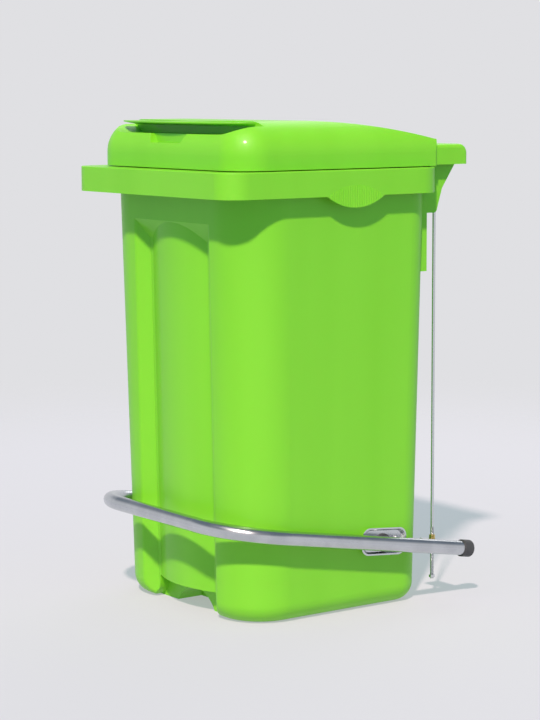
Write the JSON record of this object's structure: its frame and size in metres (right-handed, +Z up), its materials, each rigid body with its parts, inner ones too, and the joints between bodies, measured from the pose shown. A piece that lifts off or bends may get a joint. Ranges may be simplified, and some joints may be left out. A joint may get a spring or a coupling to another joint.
{
  "type": "lidded pedal bin",
  "caption": "Tall tapered pedal bin with a domed hinged lid, rim grips, and a bent tube pedal whose push rods lift the lid.",
  "frame": {"origin": "on the floor under the middle of the bin, on the flat underside of the container", "axes": "+Z up; the front with the lip and the pedal faces -Y; +X is to the right of someone who looks at the front along +Y"},
  "size_m": [0.4194, 0.4535, 0.7235],
  "materials": {
    "green_plastic": "lime green, smooth moulded, slightly glossy",
    "tube_steel": "galvanised steel, dull silver with fine lengthwise streaks",
    "zinc_steel": "bright zinc-plated steel",
    "yellow_zinc": "yellow zinc-plated steel, shown as brass",
    "black_plastic": "black, slightly rough"
  },
  "bodies": {
    "container": {"bin_body": "green_plastic", "bin_base": "green_plastic", "rim_band": "green_plastic", "gusset_left": "green_plastic", "gusset_right": "green_plastic", "pivot_dish_left": "zinc_steel", "pivot_dish_right": "zinc_steel", "pivot_bush_left": "black_plastic", "pivot_bush_right": "black_plastic", "hinge_pin_left": "zinc_steel", "hinge_pin_right": "zinc_steel", "hinge_clip_left": "zinc_steel", "hinge_clip_right": "zinc_steel", "dish_bolts": "zinc_steel", "dish_bolt_washers": "zinc_steel", "dish_bolt_nuts": "zinc_steel"},
    "lid": {"lid": "green_plastic"},
    "pedal": {"pedal_tube": "tube_steel", "tube_end_cap_left": "black_plastic", "tube_end_cap_right": "black_plastic", "rod_tab_left": "tube_steel", "rod_tab_right": "tube_steel", "pivot_pin_left": "zinc_steel", "pivot_pin_right": "zinc_steel", "pivot_washer_left": "zinc_steel", "pivot_washer_right": "zinc_steel", "pivot_nut_left": "zinc_steel", "pivot_nut_right": "zinc_steel"},
    "rod_left": {"push_rod_left": "zinc_steel", "rod_cap_left": "black_plastic", "rod_washer_left": "yellow_zinc", "rod_nut_left": "yellow_zinc", "rod_end_nut_left": "zinc_steel"},
    "rod_right": {"push_rod_right": "zinc_steel", "rod_cap_right": "black_plastic", "rod_washer_right": "yellow_zinc", "rod_nut_right": "yellow_zinc", "rod_end_nut_right": "zinc_steel"}
  },
  "joints": [
    {"name": "lid_open", "type": "hinge", "parent": "container", "child": "lid", "pos_m": [0, 0.212, 0.668], "axis": [-1, 0, 0], "range_deg": [0, 60]},
    {"name": "pedal_press", "type": "hinge", "parent": "container", "child": "pedal", "pos_m": [0, 0.074, 0.0993], "axis": [1, 0, 0], "range_deg": [0, 13.7]},
    {"name": "rod_left_lift", "type": "slide", "parent": "container", "child": "rod_left", "axis": [0, 0, 1], "range_m": [0, 0.0275]},
    {"name": "rod_right_lift", "type": "slide", "parent": "container", "child": "rod_right", "axis": [0, 0, 1], "range_m": [0, 0.0275]}
  ],
  "couplings": [
    {"joint": "pedal_press", "follows": "lid_open", "ratio": 0.228},
    {"joint": "rod_left_lift", "follows": "lid_open", "m_per_rad": 0.0262},
    {"joint": "rod_right_lift", "follows": "lid_open", "m_per_rad": 0.0262}
  ]
}
